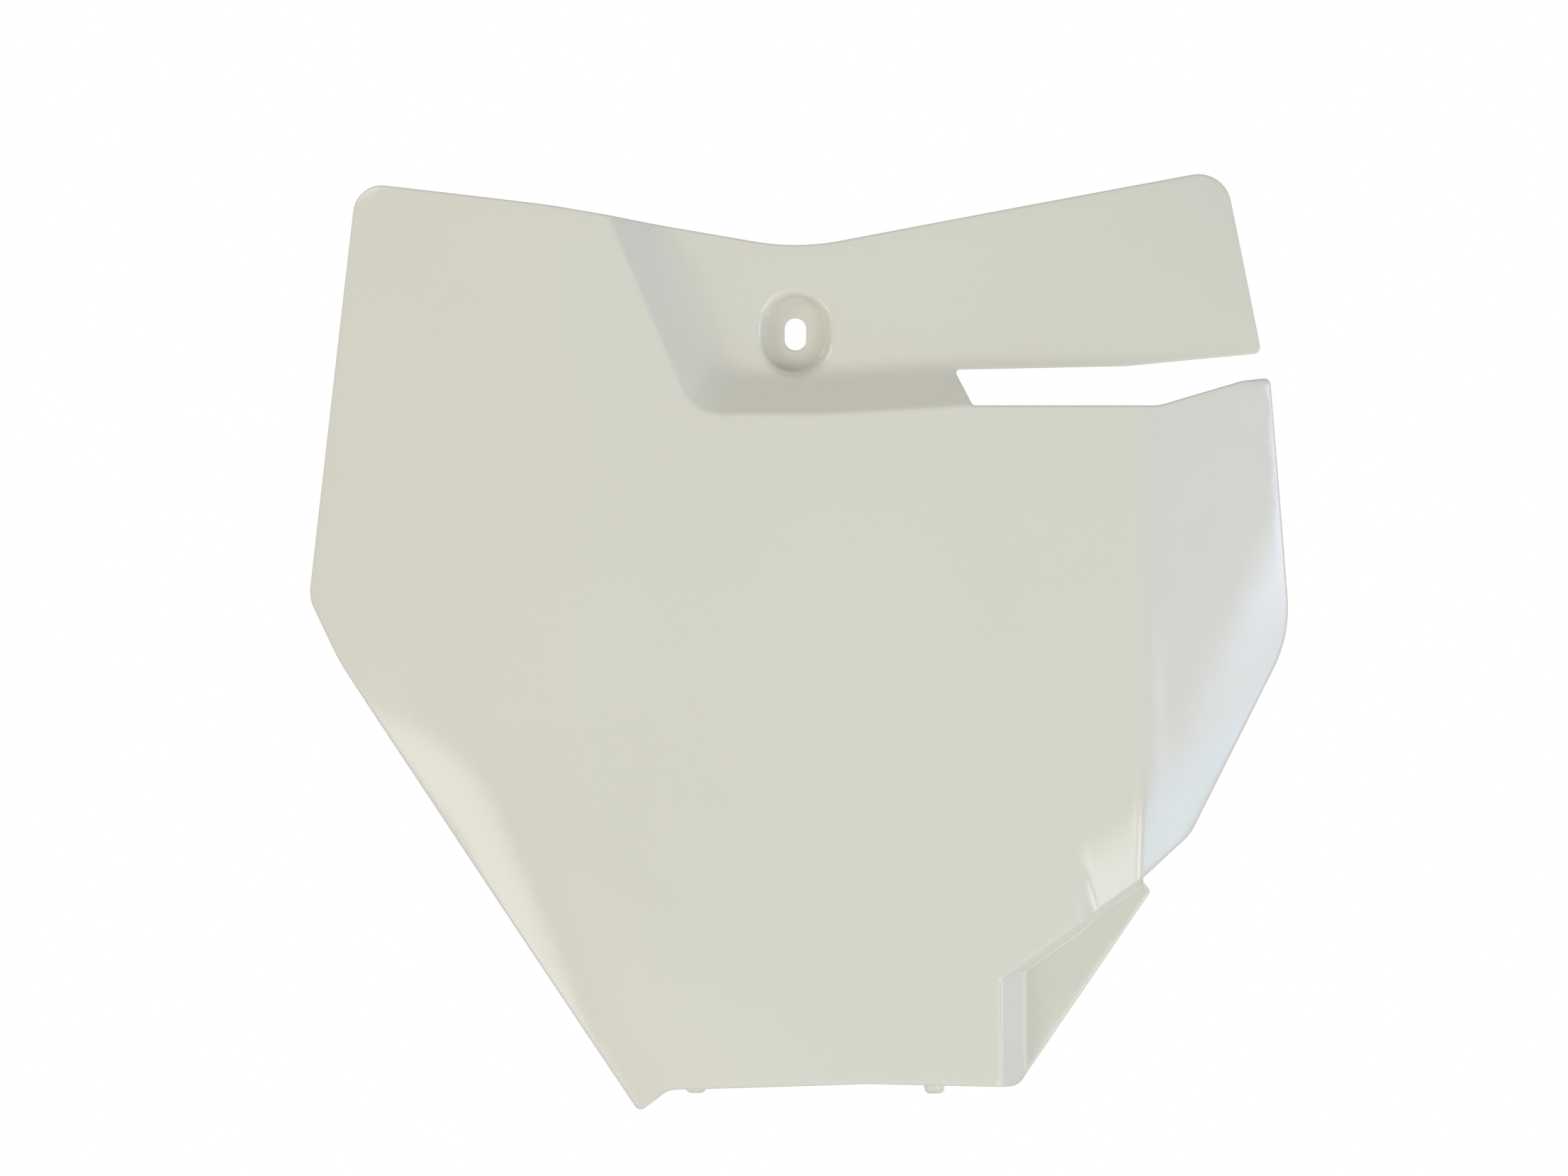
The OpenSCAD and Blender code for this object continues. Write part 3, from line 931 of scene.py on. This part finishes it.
    def flat_sheet(self, rim: Array, hole: Array) -> tuple[Array, Array]:
        """Triangles on the frontal plane that fill the outline and leave the slot open.

        Args:
            rim: The outline, set in.
            hole: The slot, set out.

        Returns:
            The places and the triangles, all turned the same way.
        """
        places = self.places(rim, hole)
        edges = self.closed(0, len(rim)) + self.closed(len(rim), len(hole))
        found, _, faces, *_ = delaunay_2d_cdt(
            [Vector(p) for p in places.tolist()], edges, [], 2, 1e-5)
        flat = np.array([tuple(p) for p in found])
        triangles = np.array(faces)
        a, b, c = (flat[triangles[:, k]] for k in range(3))
        area = np.cross(b - a, c - a)
        triangles = np.where((area > 0)[:, None], triangles, triangles[:, ::-1])
        middle = (a + b + c) / 3
        m = self.form.mount
        opening = oval_distance(middle[:, 0], middle[:, 1], m.slot_w + 2 * self.edge_r, m.rise)
        return flat, triangles[opening > 0]

    def mesh(self) -> bpy.types.Object:
        """Builds the board's closed mesh, in metres.

        Returns:
            The object.
        """
        outer, slot = self.outer(), self.slot()
        rim_points, rim = self.rim_strip(outer, hole=False)
        slot_points, hole = self.rim_strip(slot, hole=True)
        flat, triangles = self.flat_sheet(rim, hole)
        x, z = flat[:, 0], flat[:, 1]
        sheets = [np.stack([x, self.form.surface_y(x, z, side), z], axis=1) for side in Side]
        n = len(flat)
        points = np.vstack([*sheets, rim_points.reshape(-1, 3), slot_points.reshape(-1, 3)])
        rows = rim_points.shape[0]
        quads = np.vstack([
            self.strip_faces(2 * n, rows, len(outer), flip=True),
            self.strip_faces(2 * n + rows * len(outer), rows, len(slot), flip=False)])
        for lug in self.lugs:
            bar, strip = lug.rings(self.form)
            quads = np.vstack([quads, strip + len(points)])
            points = np.vstack([points, bar])
        mesh = bpy.data.meshes.new("board_shell")
        mesh.from_pydata((points * MM).tolist(), [],
                         triangles.tolist() + (triangles[:, ::-1] + n).tolist() + quads.tolist())
        mesh.validate()
        board = add_object(mesh)
        weld(board, self.weld_gap)
        LOG.info("board shell: %d points, %d faces", len(mesh.vertices), len(mesh.polygons))
        return board


@dataclass(frozen=True)
class Lug:
    """A rounded bar that stands back from the lower edge and catches the mudguard, in mm.

    Attributes:
        x: Place of its middle.
        reach: How far it stands back behind the wall.
        proud: How far it shows below the lower edge.
        root: How far its front end lies inside the wall.
    """

    x: float
    width: float = 4.8
    thick: float = 3.6
    reach: float = 8.0
    proud: float = 1.5
    root: float = 0.4
    corner: float = 1.3
    end_r: float = 1.1
    around: int = 48
    side_steps: int = 5
    end_steps: int = 6

    def section(self, inset: Array) -> Array:
        """The bar's cross-section, drawn in by each of several insets.

        Formula: a rounded rectangle is a smaller rectangle's outline pushed out by its
        corner's radius along the direction of each angle.

        Args:
            inset: How far each ring is drawn in.

        Returns:
            Places as (ring, around, 2).
        """
        t = np.linspace(0.0, 2 * math.pi, self.around, endpoint=False) + math.pi / 4
        way = np.stack([np.cos(t), np.sin(t)], axis=1)
        core = np.array([self.width, self.thick]) / 2 - self.corner
        push = np.maximum(self.corner - inset, 0.02)
        return np.sign(np.round(way, 6)) * core + way * push[:, None, None]

    def rings(self, form: Form) -> tuple[Array, Array]:
        """The bar's rings of points and its faces.

        Formula: the section is carried along Y, drawn in by a quarter arc at its rear end
        and closed by a flat fan at both ends.

        Args:
            form: The board's surfaces, which set where its front end lies.

        Returns:
            The points in mm and the four-sided faces.
        """
        z = -form.plan.bottom_drop + self.thick / 2 - self.proud
        at = np.array([self.x]), np.array([-form.plan.bottom_drop])
        front = float(form.skin_y(*at)[0]) + self.root
        rear = front + form.wall_t + self.reach
        turn = np.linspace(0.0, math.pi / 2, self.end_steps + 1)
        along = np.concatenate([np.linspace(front, rear - self.end_r, self.side_steps + 1)[:-1],
                                rear - self.end_r + self.end_r * np.sin(turn)])
        inset = np.concatenate([np.zeros(self.side_steps), self.end_r * (1 - np.cos(turn))])
        flat = self.section(inset) + np.array([self.x, z])
        y = np.repeat(along[:, None], self.around, axis=1)
        points = np.stack([flat[:, :, 0], y, flat[:, :, 1]], axis=2)
        caps = points[[0, -1]].mean(axis=1, keepdims=True).repeat(self.around, axis=1)
        points = np.concatenate([caps[:1], points, caps[1:]])
        return points.reshape(-1, 3), NumberBoard.strip_faces(
            0, len(points), self.around, flip=False)


def add_object(data: bpy.types.ID) -> bpy.types.Object:
    """Puts a mesh, lamp or camera into the scene as an object of the same name."""
    made = bpy.data.objects.new(data.name, data)
    bpy.context.scene.collection.objects.link(made)
    return made


def weld(piece: bpy.types.Object, distance: float) -> None:
    """Merges points that lie together, points the faces outwards and shades them smooth.

    Args:
        piece: The object.
        distance: Greatest distance between points that are merged, in metres.
    """
    work = bmesh.new()
    work.from_mesh(piece.data)
    bmesh.ops.remove_doubles(work, verts=work.verts, dist=distance)
    bmesh.ops.recalc_face_normals(work, faces=work.faces)
    open_edges = sum(1 for e in work.edges if len(e.link_faces) != 2)
    work.to_mesh(piece.data)
    work.free()
    piece.data.shade_smooth()
    LOG.info("%s: %d open edges", piece.name, open_edges)


class NodeGraph:
    """A material's or world's shader graph, built a node at a time.

    Attributes:
        tree: The node tree.
    """

    def __init__(self, owner: bpy.types.Material | bpy.types.World) -> None:
        """Empties the owner's tree."""
        owner.use_nodes = True
        self.tree = owner.node_tree
        self.tree.nodes.clear()

    def add(self, kind: str, links: dict[str, bpy.types.NodeSocket] | None = None,
            **values: object) -> bpy.types.Node:
        """Adds a node.

        Args:
            kind: Blender's name of the node's type.
            links: Output sockets by the name of the input they feed.
            **values: Inputs by name with spaces as underscores, or the node's properties.

        Returns:
            The node.
        """
        node = self.tree.nodes.new(kind)
        for name, value in values.items():
            socket = node.inputs.get(name.replace("_", " "))
            if socket is None:
                setattr(node, name, value)
            else:
                socket.default_value = value
        for name, socket in (links or {}).items():
            self.tree.links.new(socket, node.inputs[name])
        return node

    def join(self, kind: str, sources: list[bpy.types.NodeSocket],
             **values: object) -> bpy.types.Node:
        """Adds a node and feeds its inputs, in their own order, from the sources."""
        node = self.add(kind, **values)
        for source, socket in zip(sources, node.inputs):
            self.tree.links.new(source, socket)
        return node

    def noise(self, place: bpy.types.NodeSocket, scale: float, detail: float) -> bpy.types.Node:
        """Adds a noise pattern that reads the given place."""
        return self.add("ShaderNodeTexNoise", {"Vector": place}, Scale=scale, Detail=detail)

    def spread(self, value: bpy.types.NodeSocket, low: float, high: float) -> bpy.types.Node:
        """Adds a node that turns a pattern's 0.3 to 0.7 into the range low to high."""
        return self.add("ShaderNodeMapRange", {"Value": value}, From_Min=0.3, From_Max=0.7,
                        To_Min=low, To_Max=high)


@dataclass(frozen=True)
class BoardPlastic:
    """Glossy off-white moulded plastic with a faint mottle and a fine grain.

    Attributes:
        tint: Its colour, linear.
        warm: The colour of its warmer patches, linear.
        roughness: Lowest and highest roughness.
        ior: Refractive index.
    """

    tint: Triple = (0.674, 0.660, 0.566)
    warm: Triple = (0.663, 0.647, 0.551)
    roughness: Pair = (0.15, 0.19)
    ior: float = 1.49

    def material(self) -> bpy.types.Material:
        """Builds the material.

        Formula: a slow cloud mixes the two tints, a finer one sets the roughness, and a
        swell and a fine grain are bump.

        Returns:
            The material.
        """
        made = bpy.data.materials.new("moulded_off_white")
        graph = NodeGraph(made)
        place = graph.add("ShaderNodeTexCoord").outputs["Object"]
        drift = graph.noise(place, scale=14.0, detail=3.0)
        cloud = graph.spread(drift.outputs["Fac"], 0.0, 1.0)
        colour = graph.add("ShaderNodeMix", {"Factor": cloud.outputs["Result"]},
                           data_type="RGBA")
        colour.inputs["A"].default_value = (*self.tint, 1.0)
        colour.inputs["B"].default_value = (*self.warm, 1.0)
        patch = graph.noise(place, scale=42.0, detail=4.0)
        rough = graph.spread(patch.outputs["Fac"], *self.roughness)
        swell = graph.noise(place, scale=55.0, detail=1.0)
        grain = graph.noise(place, scale=1900.0, detail=2.0)
        wave = graph.add("ShaderNodeBump", {"Height": swell.outputs["Fac"]}, Strength=0.10,
                         Distance=0.0006)
        fine = graph.add("ShaderNodeBump", {"Height": grain.outputs["Fac"],
                                            "Normal": wave.outputs["Normal"]},
                         Strength=0.06, Distance=0.0002)
        shader = graph.add("ShaderNodeBsdfPrincipled", {
            "Base Color": colour.outputs["Result"], "Roughness": rough.outputs["Result"],
            "Normal": fine.outputs["Normal"]}, IOR=self.ior)
        graph.add("ShaderNodeOutputMaterial", {"Surface": shader.outputs["BSDF"]})
        return made


@dataclass(frozen=True)
class Softbox:
    """A flat lamp of the studio.

    Attributes:
        name: Its name.
        place: Where it stands, in metres.
        size: Its width and height, in metres.
        power: Its power in watts.
        colour: Its colour, linear.
    """

    name: str
    place: Triple
    size: Pair
    power: float
    colour: Triple = WHITE

    def build(self, aim: Vector) -> bpy.types.Object:
        """Makes the lamp.

        Args:
            aim: The point that it faces.

        Returns:
            The lamp's object.
        """
        lamp = bpy.data.lights.new(self.name, "AREA")
        lamp.shape = "RECTANGLE"
        lamp.size, lamp.size_y = self.size
        lamp.energy = self.power
        lamp.color = self.colour
        made = add_object(lamp)
        made.location = self.place
        made.rotation_euler = (aim - Vector(self.place)).to_track_quat("-Z", "Y").to_euler()
        return made


@dataclass(frozen=True)
class Studio:
    """A plain pale studio: lamps, a white surround, a floor and the camera.

    Attributes:
        centre: The middle of the view, in metres.
        view_width: Width of the view at the board, in metres.
        distance: Distance from the camera to the middle of the view, in metres.
        ambient: Strength of the surround's light.
        floor_z: Height of the floor, in metres.
        floor_half: Half the floor's width, in metres.
        floor_tone: The floor's grey.
        floor_lift: How much the floor's own white adds where the camera sees it.
        sensor_width: Width of the camera's sensor, in millimetres.
    """

    lamps: tuple[Softbox, ...]
    centre: Triple = (-0.0028, 0.0, -0.0622)
    view_width: float = 0.3847
    distance: float = 2.4
    ambient: float = 0.42
    floor_z: float = -1.3
    floor_half: float = 12.0
    floor_tone: float = 0.86
    floor_lift: float = 0.7
    sensor_width: float = 36.0

    def surround(self) -> None:
        """Sets the world: white where it's seen or mirrored, and softer as a light."""
        world = bpy.data.worlds.new("studio_surround")
        graph = NodeGraph(world)
        path = graph.add("ShaderNodeLightPath").outputs
        seen = graph.join("ShaderNodeMath", [path["Is Camera Ray"], path["Is Glossy Ray"]],
                          operation="MAXIMUM")
        through = graph.join("ShaderNodeMath", [seen.outputs[0], path["Is Transmission Ray"]],
                             operation="MAXIMUM")
        soft = graph.add("ShaderNodeBackground", Color=(*WHITE, 1.0), Strength=self.ambient)
        white = graph.add("ShaderNodeBackground", Color=(*WHITE, 1.0), Strength=1.0)
        mix = graph.join("ShaderNodeMixShader",
                         [through.outputs[0], soft.outputs[0], white.outputs[0]])
        graph.add("ShaderNodeOutputWorld", {"Surface": mix.outputs[0]})
        bpy.context.scene.world = world

    def floor(self) -> bpy.types.Object:
        """Makes the pale floor, which keeps the board's shadow.

        Returns:
            The floor's object.
        """
        mesh = bpy.data.meshes.new("studio_floor")
        half, tone = self.floor_half, self.floor_tone
        mesh.from_pydata([(-half, -half, self.floor_z), (half, -half, self.floor_z),
                          (half, half, self.floor_z), (-half, half, self.floor_z)], [],
                         [(0, 1, 2, 3)])
        made = add_object(mesh)
        paint = bpy.data.materials.new("floor_paint")
        graph = NodeGraph(paint)
        path = graph.add("ShaderNodeLightPath")
        lift = graph.add("ShaderNodeMath", {"Value": path.outputs["Is Camera Ray"]},
                         operation="MULTIPLY")
        lift.inputs[1].default_value = self.floor_lift
        paint_coat = graph.add("ShaderNodeBsdfDiffuse", Color=(tone, tone, tone, 1.0))
        white = graph.add("ShaderNodeEmission", {"Strength": lift.outputs[0]})
        both = graph.join("ShaderNodeAddShader", [paint_coat.outputs[0], white.outputs[0]])
        graph.add("ShaderNodeOutputMaterial", {"Surface": both.outputs[0]})
        mesh.materials.append(paint)
        return made

    def camera(self) -> bpy.types.Object:
        """Makes the camera, level with the board's middle and square to its face.

        Formula: the lens's length over the sensor's width is the distance over the width
        of the view.

        Returns:
            The camera's object.
        """
        lens = bpy.data.cameras.new("studio_camera")
        lens.sensor_width = self.sensor_width
        lens.lens = self.sensor_width * self.distance / self.view_width
        lens.clip_end = 50.0
        made = add_object(lens)
        x, y, z = self.centre
        made.location = (x, y - self.distance, z)
        made.rotation_euler = (math.pi / 2, 0.0, 0.0)
        bpy.context.scene.camera = made
        return made

    def build(self) -> None:
        """Builds the whole studio."""
        for lamp in self.lamps:
            lamp.build(Vector(self.centre))
        self.surround()
        self.floor()
        self.camera()
        bpy.context.scene.view_settings.view_transform = "Standard"


LAMPS = (
    Softbox("upper_left_box", (-1.741, -1.005, 0.835), (0.8, 0.8), 11.08),
    Softbox("low_left_box", (-1.442, -1.442, -0.884), (0.8, 0.8), 5.6),
    Softbox("low_side_box", (-1.767, -1.02, -0.884), (1.4, 1.4), 4.6),
    Softbox("low_front_box", (0.0, -2.04, -0.884), (1.7, 0.8), 2.45),
    Softbox("low_key", (0.639, -1.966, -0.812), (0.6, 0.8), 4.3),
    Softbox("low_right_box", (1.442, -1.442, -0.884), (0.8, 0.8), 10.06),
    Softbox("upper_right_box", (1.741, -1.005, 0.835), (1.5, 1.5), 3.2, (0.63, 0.7, 1.0)),
    Softbox("right_box", (1.555, -1.555, 0.017), (1.4, 1.4), 0.9),
    Softbox("window", (2.156, -0.439, -0.022), (0.55, 0.42), 5.75, (0.59, 0.675, 1.0)),
    Softbox("low_window", (2.109, -0.429, -0.517), (0.55, 0.46), 4.15, (0.43, 0.65, 1.0)),
)


def main() -> None:
    """Builds the board and its studio, in order."""
    logging.basicConfig(level=logging.INFO, format="%(name)s: %(message)s")
    lugs = tuple(Lug(place) for place in LUG_PLACES)
    board = NumberBoard(Form(Plan(), Mount()), lugs=lugs).mesh()
    board.data.materials.append(BoardPlastic().material())
    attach(board, BODY)
    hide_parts(NODE)
    Studio(LAMPS).build()
    LOG.info("studio: %d lamps", len(LAMPS))


if __name__ == "__main__":
    main()
